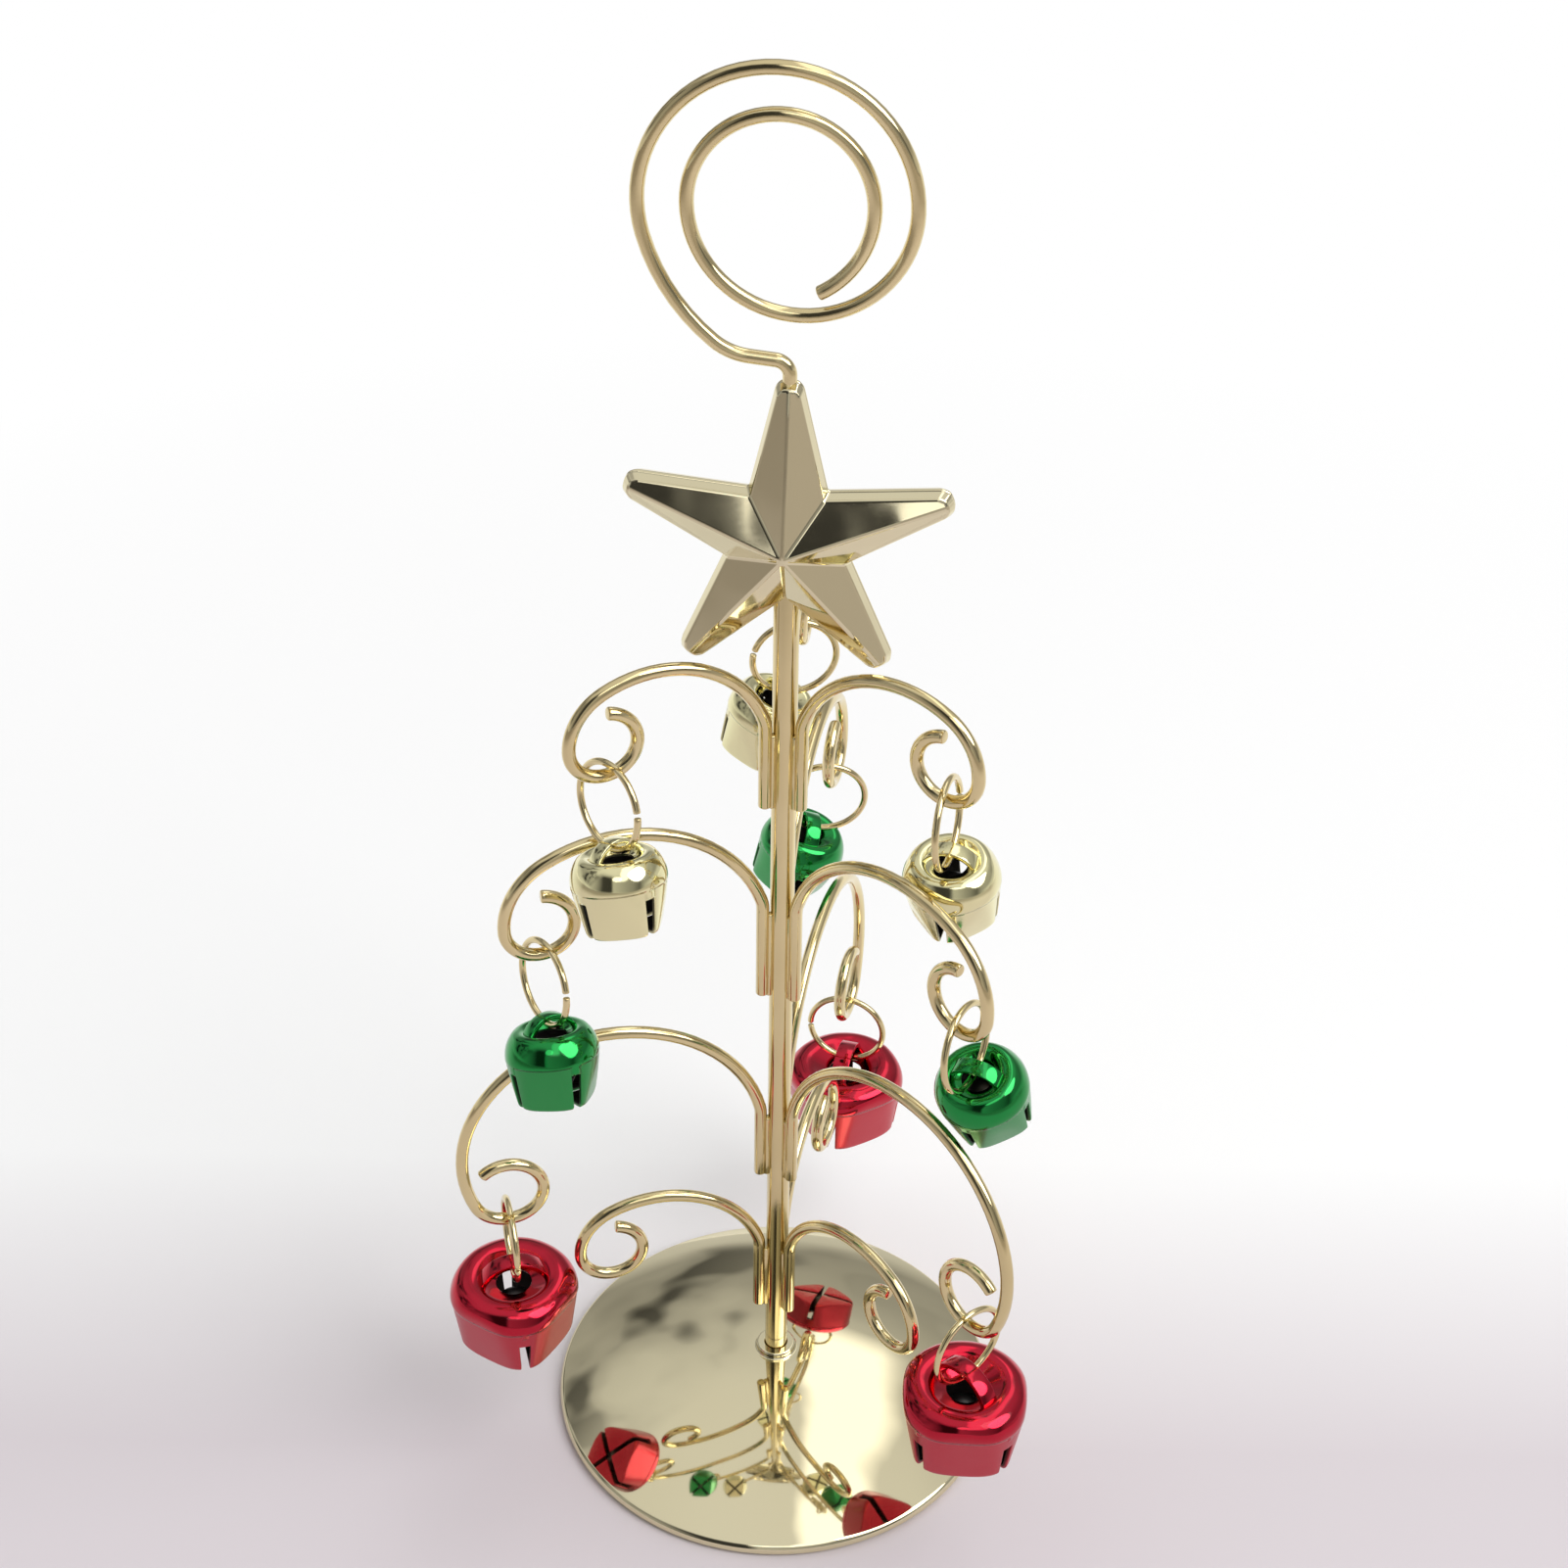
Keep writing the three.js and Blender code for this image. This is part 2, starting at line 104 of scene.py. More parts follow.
class FootSizes(bpy.types.PropertyGroup):
    diameter: length("Diameter", "Across the rolled rim", 52.2)
    rise: length("Rise", "Crown of the dome above the table", 6.9)
    sheet: length("Sheet", "Thickness of the pressing", 0.8)
    bead: length("Bead", "Diameter of the rolled rim", 1.7)
    flat: length("Flat", "Width of the rim's flat foot", 0.8)
    dents: length("Dents", "Height of the unevenness of the plate", 0.02)
    collar: length("Collar", "Radius of the collar round the stem", 2.3)
    collar_height: length("Collar height", "Collar above the dome's crown", 0.7)
    collar_skirt: length("Collar skirt", "How far the collar flares into the dome", 1.1)
    collar_round: length("Collar rounding", "Rounding of the collar's edges", 0.25)
    bore: length("Bore", "Radius of the way for the stem", 1.32)
    socket_wall: length("Socket wall", "Wall of the drawn socket", 0.8)
    socket_length: length("Socket length", "Socket below the dome", 4.4)
    soft_edge: length("Soft edge", "Rounding of the pressing's sharp edges", 0.12)


class StemSizes(bpy.types.PropertyGroup):
    diameter: length("Diameter", "Diameter of the rod", 2.6)
    chamfer: length("Chamfer", "Broken edge at the rod's ends", 0.2)
    soft_edge: length("Soft edge", "Rounding left beside the chamfer", 0.03)


class StarSizes(bpy.types.PropertyGroup):
    tip: length("Tip", "Centre to tip", 16.8)
    notch: length("Notch", "Centre to notch", 6.6)
    tip_width: length("Tip width", "Width of a blunt tip", 2.8)
    tip_round: length("Tip rounding", "How far a tip bulges", 0.7)
    depth: length("Depth", "Seam to apex of one shell", 5.0)
    dents: length("Dents", "Height of the unevenness of the plate", 0.1)
    edge: length("Edge", "Seam to the crease where the facets begin", 1.3)
    flare: length("Flare", "Slant of the edge wall", 0.6)
    seam: length("Seam", "Half of the gap between the shells", 0.15)
    sheet: length("Sheet", "Thickness of a shell", 0.5)
    ridge: length("Ridge", "Rounding of the ridges and creases", 0.38)
    turned: turn("Turn", "Turn of the star about the stem", -6)


class ClipSizes(bpy.types.PropertyGroup):
    wire: length("Wire", "Diameter of the wire", 1.4)
    leg: length("Leg", "Length inside the star", 12)
    neck_radius: length("Neck radius", "Bend at the star's tip", 1.5)
    neck_turn: turn("Neck turn", "Turn of the neck", 85)
    neck_run: length("Neck run", "Straight run from the neck to the spiral", 2.5)
    radii: bends("Radii", "Radius of each bend in millimetres", (6, 20, 12.7, 10.45, 8.5, 9.3))
    turns: bends("Turns", "Turn of each bend in degrees", (35, 35, 195, 180, 180, 62))


class SmallArm(bpy.types.PropertyGroup):
    leg: length("Leg", "Straight length along the stem", 9.5)
    radii: bends("Radii", "Radius of each bend in millimetres", (4, 12.3, 6.6, 3.6))
    turns: bends("Turns", "Turn of each bend in degrees", (18, 98, 64, 262))


class MediumArm(bpy.types.PropertyGroup):
    leg: length("Leg", "Straight length along the stem", 11.5)
    radii: bends("Radii", "Radius of each bend in millimetres", (4, 16.2, 8.6, 3.7))
    turns: bends("Turns", "Turn of each bend in degrees", (18, 100, 64, 264))


class LargeArm(bpy.types.PropertyGroup):
    leg: length("Leg", "Straight length along the stem", 9)
    radii: bends("Radii", "Radius of each bend in millimetres", (4, 17.8, 16, 4))
    turns: bends("Turns", "Turn of each bend in degrees", (13, 87, 102, 292))


class ArmWire(bpy.types.PropertyGroup):
    wire: length("Wire", "Diameter of the wire", 1.4)
    reach: length("Reach", "Stem's axis to the middle of a leg", 2.15)
    cut_round: length("Cut rounding", "Broken edge at the wire's cut ends", 0.2)
    soft_edge: length("Soft edge", "Rounding left beside the broken edge", 0.03)
    weld: length("Weld", "Width of the weld between a leg and the stem", 0.9)
    weld_reach: length("Weld reach", "Stem's axis to the middle of the weld", 1.375)
    weld_foot: length("Weld foot", "How far the weld reaches below the leg", 0.3)
    weld_top: length("Weld top", "Length of leg that stays free above the weld", 0.8)


class RingSizes(bpy.types.PropertyGroup):
    diameter: length("Diameter", "Across the ring", 10.0)
    wire: length("Wire", "Diameter of the wire", 0.75)
    cut: length("Cut", "Gap between the ring's ends", 0.5)
    cut_round: length("Cut rounding", "Broken edge at the ring's cut ends", 0.1)
    soft_edge: length("Soft edge", "Rounding left beside the broken edge", 0.02)
    loose: length("Looseness", "Gap to what the ring hangs on", 0.3)


class SmallBell(bpy.types.PropertyGroup):
    diameter: length("Diameter", "Across the crease", 10.1)
    height: length("Height", "Crown to foot", 8.0)
    wall: length("Wall", "Thickness of the shell", 0.4)
    lip: length("Lip", "Across the top of the rounded rim", 6.6)
    mouth: length("Mouth", "Across the hole in the dish", 3.4)
    crease: length("Crease", "Depth of the crease below the crown", 2.9)
    step: length("Step", "Step in under the crease", 0.06)
    foot: length("Foot", "Across the corners at the foot", 8.8)
    turn_under: length("Turn under", "Rounding where the petals turn under", 0.7)
    flat_top: length("Flat top", "Across the petals' flats at the level of the crown", 12.2)
    flat_foot: length("Flat foot", "Across the petals' flats at the foot", 7.2)
    slot: length("Slot", "Width of a slot at its top", 1.1)
    slot_foot: length("Slot foot", "Width of a slot at the foot", 0.8)
    slot_depth: length("Slot depth", "Depth of the slot's top", 4.0)
    strap: length("Strap", "Width of the strap", 1.7)
    strap_reach: length("Strap reach", "Middle of the strap to its end", 2.9)
    strap_sink: length("Strap sink", "Depth of the strap's ends", 0.4)
    strap_sheet: length("Strap sheet", "Thickness of the strap", 0.5)
    hump: length("Hump", "Ring wire above the crown", 0.4)
    pellet: length("Pellet", "Diameter of the loose ball", 4.6)


class LargeBell(bpy.types.PropertyGroup):
    diameter: length("Diameter", "Across the crease", 14.7)
    height: length("Height", "Crown to foot", 9.4)
    wall: length("Wall", "Thickness of the shell", 0.5)
    lip: length("Lip", "Across the top of the rounded rim", 10.0)
    mouth: length("Mouth", "Across the hole in the dish", 4.0)
    crease: length("Crease", "Depth of the crease below the crown", 2.5)
    step: length("Step", "Step in under the crease", 0.12)
    foot: length("Foot", "Across the corners at the foot", 12.8)
    turn_under: length("Turn under", "Rounding where the petals turn under", 0.9)
    flat_top: length("Flat top", "Across the petals' flats at the level of the crown", 14.6)
    flat_foot: length("Flat foot", "Across the petals' flats at the foot", 10.6)
    slot: length("Slot", "Width of a slot at its top", 1.3)
    slot_foot: length("Slot foot", "Width of a slot at the foot", 1.0)
    slot_depth: length("Slot depth", "Depth of the slot's top", 4.8)
    strap: length("Strap", "Width of the strap", 2.0)
    strap_reach: length("Strap reach", "Middle of the strap to its end", 4.1)
    strap_sink: length("Strap sink", "Depth of the strap's ends", 0.9)
    strap_sheet: length("Strap sheet", "Thickness of the strap", 0.6)
    hump: length("Hump", "Ring wire above the crown", 0.9)
    pellet: length("Pellet", "Diameter of the loose ball", 5.4)


class BellForm(bpy.types.PropertyGroup):
    shoulder: turn("Shoulder", "Turn of the shoulder from the crease to the rim", 40)
    dish: turn("Dish", "Slope of the dish below the rim", 27)
    sharpness: FloatProperty(
        name="Sharpness", description="How sharply the flats are pressed into the round wall", default=22,
    )
    satin_reach: FloatProperty(
        name="Satin reach", description="How far the satin spreads from the flats, where 1 is their edge",
        default=1.3,
    )
    satin_gold: share("Gold satin", "Roughness the gold petals gain", 0.06)
    satin_green: share("Green satin", "Roughness the green petals gain", 0.2)
    satin_red: share("Red satin", "Roughness the red petals gain", 0.28)
    soft_edge: length("Soft edge", "Rounding of the slots and the mouth", 0.07)


class PelletForm(bpy.types.PropertyGroup):
    undersize: length("Undersize", "How far the ball stays inside its rolled seam", 0.05)
    seam: length("Seam", "Half the width of the rolled seam", 0.15)
    belt: FloatProperty(
        name="Belt", description="How far the seam stands out, as a factor of the radius", default=1.01,
    )


class Colours(bpy.types.PropertyGroup):
    plate: colour("Plate", "Pale gold plate", (0.80, 0.73, 0.50))
    plate_deep: colour("Deep plate", "Gold plate where it is thicker", (0.70, 0.61, 0.38))
    wire: colour("Wire", "Plated wire", (0.86, 0.73, 0.42))
    wire_deep: colour("Deep wire", "Plated wire where the plate is thicker", (0.58, 0.46, 0.23))
    bell_gold: colour("Gold bells", "Gold lacquer", (0.90, 0.84, 0.48))
    bell_green: colour("Green bells", "Green lacquer", (0.015, 0.30, 0.06))
    bell_red: colour("Red bells", "Red lacquer", (0.55, 0.012, 0.035))
    # Inside the bells: dull unlacquered sheet, painted near black as the shade inside them
    bare_and_shade: colour("Bare inside", "Dull sheet inside the bells", (0.05, 0.045, 0.04))
    # Pellet steel, painted dark as the shade inside the bells
    pellet: colour("Pellets", "Plain steel", (0.12, 0.115, 0.11))
    floor: colour("Floor", "Pale floor in front", (0.70, 0.645, 0.675))
    # The far floor in front is painted darker, as light falling off with distance
    floor_far_shade: colour("Far floor", "Floor in front, far from the tree", (0.38, 0.34, 0.32))
    floor_back: colour("Floor at the back", "Pale floor behind the tree", (0.97, 0.97, 0.97))


class CardTree(bpy.types.PropertyGroup):
    foot: PointerProperty(type=FootSizes)
    stem: PointerProperty(type=StemSizes)
    star: PointerProperty(type=StarSizes)
    clip: PointerProperty(type=ClipSizes)
    arm_wire: PointerProperty(type=ArmWire)
    arm_top: PointerProperty(type=SmallArm)
    arm_upper: PointerProperty(type=MediumArm)
    arm_lower: PointerProperty(type=LargeArm)
    arm_bottom: PointerProperty(type=SmallArm)
    ring: PointerProperty(type=RingSizes)
    bell_gold: PointerProperty(type=SmallBell)
    bell_green: PointerProperty(type=SmallBell)
    bell_red: PointerProperty(type=LargeBell)
    bell_form: PointerProperty(type=BellForm)
    pellet_form: PointerProperty(type=PelletForm)
    colours: PointerProperty(type=Colours)


# Drawing with bmesh operators

class Pen:
    """Carries a vertex, for a profile, or a ring of edges, for a wire, over the XZ plane."""

    def __init__(self, bm, geom, place, heading=0.0):
        self.bm = bm
        self.geom = geom
        self.place = Vector((place[0], 0, place[1]))
        self.heading = heading

    def _carry(self, **motion):
        swept = bmesh.ops.spin(self.bm, geom=self.geom, axis=(0, -1, 0), **motion)
        self.geom = swept["geom_last"]

    def run(self, distance):
        ahead = Vector((cos(self.heading), 0, sin(self.heading)))
        self._carry(cent=self.place, dvec=ahead * distance, angle=0, steps=1)
        self.place += ahead * distance

    def go(self, x, z):
        to = Vector((x, 0, z)) - self.place
        self.heading = atan2(to.z, to.x)
        self.run(to.length)

    def arc(self, centre, angle):
        middle = Vector((centre[0], 0, centre[1]))
        steps = max(2, ceil(abs(degrees(angle)) / STEP_TURN))
        self._carry(cent=middle, angle=angle, steps=steps)
        self.place = Matrix.Rotation(angle, 3, (0, -1, 0)) @ (self.place - middle) + middle
        self.heading += angle

    def bend(self, radius, angle):
        side = radius if angle > 0 else -radius
        centre = self.place + side * Vector((-sin(self.heading), 0, cos(self.heading)))
        self.arc((centre.x, centre.z), angle)

    def corner(self, at, beyond, radius):
        """Goes towards a corner and rounds it, so that the pen ends up heading for the point beyond."""
        first = atan2(at[1] - self.place.z, at[0] - self.place.x)
        second = atan2(beyond[1] - at[1], beyond[0] - at[0])
        angle = (second - first + pi) % (2 * pi) - pi
        self.heading = first
        short = radius * abs(tan(angle / 2))
        self.run(hypot(at[0] - self.place.x, at[1] - self.place.z) - short)
        self.bend(radius, angle)


def all_of(elements, kind):
    """Each edge, vertex or face of these elements once, in an order that is the same in every run."""
    return list(dict.fromkeys(part for element in elements for part in getattr(element, kind)))


def profile_pen(bm, x, z, heading=0.0):
    vertex = bmesh.ops.create_vert(bm, co=(x, 0, z))["vert"][0]
    return Pen(bm, [vertex], (x, z), heading)


def revolve(bm, steps):
    bmesh.ops.spin(
        bm, geom=bm.verts[:] + bm.edges[:], cent=(0, 0, 0), axis=(0, 0, 1),
        angle=2 * pi, steps=steps, use_merge=True,
    )
    tidy(bm)


def tidy(bm):
    bmesh.ops.remove_doubles(bm, verts=bm.verts, dist=SAME)
    bmesh.ops.recalc_face_normals(bm, faces=bm.faces)


def wire_pen(bm, diameter, place, heading):
    tilt = Matrix.Rotation(pi / 2 - heading, 4, "Y")
    seat = Matrix.Translation((place[0], 0, place[1])) @ tilt
    made = bmesh.ops.create_circle(bm, segments=WIRE_SIDES, radius=diameter / 2, matrix=seat)
    ring = made["verts"]
    return Pen(bm, ring + all_of(ring, "link_edges"), place, heading)


def cap_wire(bm, rounding):
    """Closes the wire's open ends and breaks their edges."""
    open_edges = [edge for edge in bm.edges if edge.is_boundary]
    caps = bmesh.ops.edgeloop_fill(bm, edges=open_edges)["faces"]
    bmesh.ops.bevel(
        bm, geom=all_of(caps, "edges"), offset=rounding, segments=3, profile=0.5,
        affect="EDGES", material=-1,
    )
    bmesh.ops.recalc_face_normals(bm, faces=bm.faces)


# Materials

class Value:
    """A socket that takes part in Python expressions; each operation adds its Math node."""

    def __init__(self, wiring, socket):
        self.wiring = wiring
        self.socket = socket

    def _math(self, operation, first, second):
        node = self.wiring.add("ShaderNodeMath", {"operation": operation}, {0: first, 1: second})
        return Value(self.wiring, node.outputs[0])

    def __add__(self, other):
        return self._math("ADD", self, other)

    def __radd__(self, other):
        return self._math("ADD", other, self)

    def __sub__(self, other):
        return self._math("SUBTRACT", self, other)

    def __rsub__(self, other):
        return self._math("SUBTRACT", other, self)

    def __mul__(self, other):
        return self._math("MULTIPLY", self, other)

    def __rmul__(self, other):
        return self._math("MULTIPLY", other, self)

    def __pow__(self, other):
        return self._math("POWER", self, other)


class Wiring:
    """A node tree, with one method that adds any node."""

    def __init__(self, tree):
        self.tree = tree
        tree.nodes.clear()

    def add(self, kind, settings=None, sockets=None):
        node = self.tree.nodes.new(kind)
        for name, setting in (settings or {}).items():
            if name == "stops":
                self._stops(node.color_ramp, setting)
            else:
                setattr(node, name, setting)
        for key, given in (sockets or {}).items():
            if isinstance(given, Value):
                self.tree.links.new(given.socket, node.inputs[key])
            else:
                node.inputs[key].default_value = given
        return node

    def value(self, kind, output=0, settings=None, sockets=None):
        return Value(self, self.add(kind, settings, sockets).outputs[output])

    def _stops(self, ramp, stops):
        while len(ramp.elements) < len(stops):
            ramp.elements.new(1)
        for element, (position, shade) in zip(ramp.elements, stops):
            element.position = position
            element.color = shade


def opaque(shade):
    return (*shade, 1)


def noise(wiring, scale, detail, stretch=(1, 1, 1)):
    place = wiring.value("ShaderNodeTexCoord", "Object")
    laid = wiring.value("ShaderNodeMapping", 0, None, {"Vector": place, "Scale": stretch})
    return wiring.value(
        "ShaderNodeTexNoise", "Fac", None, {"Vector": laid, "Scale": scale, "Detail": detail},
    )


def blended(wiring, share, first, second):
    return wiring.value(
        "ShaderNodeMix", MIX_RESULT, {"data_type": "RGBA"},
        {MIX_SHARE: share, MIX_FIRST: first, MIX_SECOND: second},
    )


def grey_ramp(wiring, share, stops):
    shades = tuple((place, (grey, grey, grey, 1)) for place, grey in stops)
    return wiring.value("ShaderNodeValToRGB", "Color", {"stops": shades}, {"Fac": share})


def new_material(name):
    material = bpy.data.materials.new(name)
    material.use_nodes = True
    return material, Wiring(material.node_tree)


def close_material(wiring, sockets):
    shader = wiring.value("ShaderNodeBsdfPrincipled", "BSDF", None, sockets)
    wiring.add("ShaderNodeOutputMaterial", None, {"Surface": shader})


def bumped(wiring, height, strength, distance):
    return wiring.value(
        "ShaderNodeBump", "Normal", None, {"Height": height, "Strength": strength, "Distance": distance},
    )


def polished_plate(name, colours, dents):
    """Mirror-bright pale gold plate on pressed sheet that is not quite even."""
    material, wiring = new_material(name)
    tint = noise(wiring, scale=45, detail=2)
    haze = noise(wiring, scale=260, detail=4)
    scuffs = noise(wiring, scale=500, detail=5, stretch=(1, 7, 1))
    waves = noise(wiring, scale=120, detail=1)
    polish, wear = 0.035, 0.05
    most_deep = 0.6
    shades = opaque(colours.plate), opaque(colours.plate_deep)
    close_material(wiring, {
        "Base Color": blended(wiring, tint * most_deep, *shades),
        "Metallic": 1.0,
        "Roughness": polish + wear * haze * scuffs,
        "Normal": bumped(wiring, waves, strength=1.0, distance=dents),
    })
    return material


def drawn_wire(colours):
    """Plated wire and rod: bright, with the faint grain that drawing leaves."""
    material, wiring = new_material("drawn_wire")
    tint = noise(wiring, scale=90, detail=2)
    grain = noise(wiring, scale=900, detail=3)
    haze = noise(wiring, scale=200, detail=3)
    polish, wear = 0.06, 0.08
    most_deep = 0.8
    shades = opaque(colours.wire), opaque(colours.wire_deep)
    close_material(wiring, {
        "Base Color": blended(wiring, tint * most_deep, *shades),
        "Metallic": 1.0,
        "Roughness": polish + wear * haze,
        "Normal": bumped(wiring, grain, strength=0.06, distance=0.05 * MM),
    })
    return material


def bell_lacquer(name, shade, bare_and_shade, dullness):
    """Lacquered bell: glossy crown, satin petals painted paler as a sheen, and a dull unlacquered inside
    painted near black as shade.
    """
    material, wiring = new_material(name)
    satin = wiring.value("ShaderNodeAttribute", "Fac", {"attribute_name": "satin"})
    inside = wiring.value("ShaderNodeAttribute", "Fac", {"attribute_name": "inside"})
    waves = noise(wiring, scale=190, detail=1)
    grain = noise(wiring, scale=1400, detail=4)
    haze = noise(wiring, scale=300, detail=3)
    petals_flatter = 0.8
    grain_crown, grain_petals = 0.006, 0.012
    uneven = waves * (1.0 - petals_flatter * satin) + grain * (grain_crown + grain_petals * satin)
    # The satin petals are painted paler and milkier than the crown, a painted sheen on top of their real
    # roughness
    darker, sheen_paler, sheen_milky = 0.72, 0.92, 0.025
    deep = tuple(darker * channel for channel in shade)
    sheen_pale = tuple(sheen_paler * channel + sheen_milky for channel in shade)
    most_deep = 0.5
    glossy = blended(wiring, haze * most_deep, opaque(shade), opaque(deep))
    lacquer = blended(wiring, satin, glossy, opaque(sheen_pale))
    polish, wear, bare_dullness = 0.06, 0.05, 0.4
    bare_loss = 0.6
    coat = 0.3
    close_material(wiring, {
        # the inner skin takes the near-black colour, painted shade over the dull unlacquered sheet
        "Base Color": blended(wiring, inside, lacquer, opaque(bare_and_shade)),
        "Metallic": 1.0 - bare_loss * inside,
        "Roughness": polish + wear * haze + dullness * satin + bare_dullness * inside,
        "Normal": bumped(wiring, uneven, strength=1.0, distance=0.45 * MM),
        "Coat Weight": coat - coat * inside,
        "Coat Roughness": polish,
    })
    return material


def plain_steel(colours):
    """Dull, unplated steel of the loose balls, painted dark as the shade inside the bells."""
    material, wiring = new_material("plain_steel")
    haze = noise(wiring, scale=400, detail=4)
    darker = 0.6
    dark = tuple(darker * channel for channel in colours.pellet)
    polish, wear = 0.35, 0.2
    close_material(wiring, {
        "Base Color": blended(wiring, haze, opaque(colours.pellet), opaque(dark)),
        "Metallic": 1.0,
        "Roughness": polish + wear * haze,
    })
    return material


def finish(name, make, *values):
    """The material of that name, made the first time it is asked for."""
    return bpy.data.materials.get(name) or make(*values)


# Pieces

def add_piece(name, bm, material, body, node):
    mesh = bpy.data.meshes.new(name)
    bm.to_mesh(mesh)
    bm.free()
    mesh.shade_smooth()
    piece = bpy.data.objects.new(name, mesh)
    bpy.context.scene.collection.objects.link(piece)
    mesh.materials.append(material)
    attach(piece, body)
    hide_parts(node)
    return piece


def soften(piece, width, segments=2, angle=32, thin=False):
    """Rounds the sharp edges. On a solid piece, the faces beside them stay flat in shading."""
    bevel = piece.modifiers.new("Soft edges", "BEVEL")
    bevel.width = width
    bevel.segments = segments
    bevel.limit_method = "ANGLE"
    bevel.angle_limit = radians(angle)
    bevel.harden_normals = not thin
    bevel.use_clamp_overlap = not thin


def tree_sizes():
    return bpy.context.scene.card_tree


def hang_matrix(joint, label):
    """Frame of a ring or a bell at rest: its place on the joint, the ring's plane and the way it hangs."""
    across = Vector(JOINTS[f"tilt_bell_{label}"]["axis"])
    up = Vector(JOINTS[f"rattle_pellet_{label}"]["axis"])
    turned = Matrix((across.cross(up), across, up)).transposed().to_4x4()
    return Matrix.Translation(JOINTS[joint]["pos_m"]) @ turned


class TREE_OT_foot(bpy.types.Operator):
    """Spins the pressed foot: dome, rolled rim, collar and socket"""
    bl_idname = "card_tree.foot"
    bl_label = "Foot"

    def execute(self, context):
        tree = tree_sizes()
        sizes = tree.foot
        bead = sizes.bead / 2
        rest = acos(sizes.flat / sizes.bead)
        rim = (sizes.diameter / 2 - bead, bead * sin(rest))
        fall = sizes.rise - rim[1]
        dome = (rim[0] ** 2 + fall ** 2 - bead ** 2) / (2 * (fall - bead))
        lean = asin(rim[0] / (dome - bead))
        centre = (0, sizes.rise - dome)
        crown = sizes.rise + sizes.collar_height
        skirt = sizes.collar + sizes.collar_skirt
        socket = sizes.bore + sizes.socket_wall
        under = dome - sizes.sheet

        def on_dome(x, radius):
            return centre[1] + (radius ** 2 - x ** 2) ** 0.5

        bm = bmesh.new()
        pen = profile_pen(bm, sizes.bore, crown)
        skirt_foot = (skirt, on_dome(skirt, dome))
        collar_foot = (sizes.collar, skirt_foot[1])
        pen.corner((sizes.collar, crown), collar_foot, sizes.collar_round)
        pen.corner(collar_foot, skirt_foot, sizes.collar_round)
        pen.go(*skirt_foot)
        pen.arc(centre, asin(skirt / dome) - lean)
        pen.arc(rim, lean - pi / 2 - rest)
        pen.go(rim[0] - sizes.flat / 2, 0)
        inner = rim[0] - bead - sizes.sheet / 2
        pen.go(inner, on_dome(inner, under))
        pen.arc(centre, asin(inner / under) - asin(socket / under))
        root = on_dome(socket, under)
        pen.go(socket, root - sizes.socket_length)
        pen.go(sizes.bore, root - sizes.socket_length)
        pen.go(sizes.bore, crown)
        revolve(bm, FOOT_STEPS)
        plate = finish("foot_plate", polished_plate, "foot_plate", tree.colours, sizes.dents)
        piece = add_piece("pressed_foot", bm, plate, "tree", "base_plate")
        soften(piece, sizes.soft_edge)
        return {"FINISHED"}


class TREE_OT_stem(bpy.types.Operator):
    """Makes the straight rod with broken edges"""
    bl_idname = "card_tree.stem"
    bl_label = "Stem"

    def execute(self, context):
        tree = tree_sizes()
        low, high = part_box("stem_rod")
        bm = bmesh.new()
        pen = wire_pen(bm, tree.stem.diameter, (0, low.z), pi / 2)
        pen.run(high.z - low.z)
        cap_wire(bm, tree.stem.chamfer)
        rod = finish("drawn_wire", drawn_wire, tree.colours)
        piece = add_piece("stem", bm, rod, "tree", "stem_rod")
        soften(piece, tree.stem.soft_edge)
        return {"FINISHED"}


class TREE_OT_star(bpy.types.Operator):
    """Makes the star's two shells: one ridged point, spun five times"""
    bl_idname = "card_tree.star"
    bl_label = "Star"

    POINTS = 5
    TIP_BEND = (0.6, 0.15)  # bend in a blunt tip: share of its half width aside, of its bulge down

    def execute(self, context):
        tree = tree_sizes()
        sizes = tree.star
        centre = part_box("star_front")[1].z - sizes.tip
        turned = Matrix.Translation((0, 0, centre)) @ Matrix.Rotation(sizes.turned, 4, "Z")
        plate = finish("star_plate", polished_plate, "star_plate", tree.colours, sizes.dents)
        for side, facing in (("front", 0), ("back", pi)):
            bm = self.shell(sizes)
            bmesh.ops.transform(bm, matrix=turned @ Matrix.Rotation(facing, 4, "Z"), verts=bm.verts)
            name = f"star_{side}"
            piece = add_piece(f"{name}_shell", bm, plate, "tree", name)
            soften(piece, sizes.ridge, segments=4, angle=12)
        return {"FINISHED"}

    def shell(self, sizes):
        bm = bmesh.new()
        apex = bm.verts.new((0, -sizes.depth, 0))
        crease = self.point_outline(bm, sizes, sizes.flare, sizes.edge)
        seam = self.point_outline(bm, sizes, 0, sizes.seam)
        middle = len(crease) // 2
        bm.faces.new([apex, *crease[:middle + 1]])
        bm.faces.new([apex, *crease[middle:]])
        walls = zip(crease, seam, seam[1:], crease[1:])
        for corners in walls:
            bm.faces.new(corners)
        bmesh.ops.spin(
            bm, geom=bm.verts[:] + bm.edges[:] + bm.faces[:], cent=(0, 0, 0), axis=(0, 1, 0),
            angle=2 * pi, steps=self.POINTS, use_duplicate=True,
        )
        tidy(bm)
        bmesh.ops.solidify(bm, geom=bm.faces[:], thickness=sizes.sheet)
        return bm

    def point_outline(self, bm, sizes, inset, depth):
        """Half of the notch on either side, and the blunt tip between them"""
        notch = sizes.notch - inset
        half_point = pi / self.POINTS
        aside, up = notch * sin(half_point), notch * cos(half_point)
        half = sizes.tip_width / 2 - inset / 2
        tip = sizes.tip - inset
        bulge = sizes.tip_round
        bend = (-half * self.TIP_BEND[0], tip - self.TIP_BEND[1] * bulge)
        places = [(-aside, up), (-half, tip - bulge), bend, (0, tip)]
        places += [(-x, z) for x, z in reversed(places[:-1])]
        return [bm.verts.new((x, -depth, z)) for x, z in places]


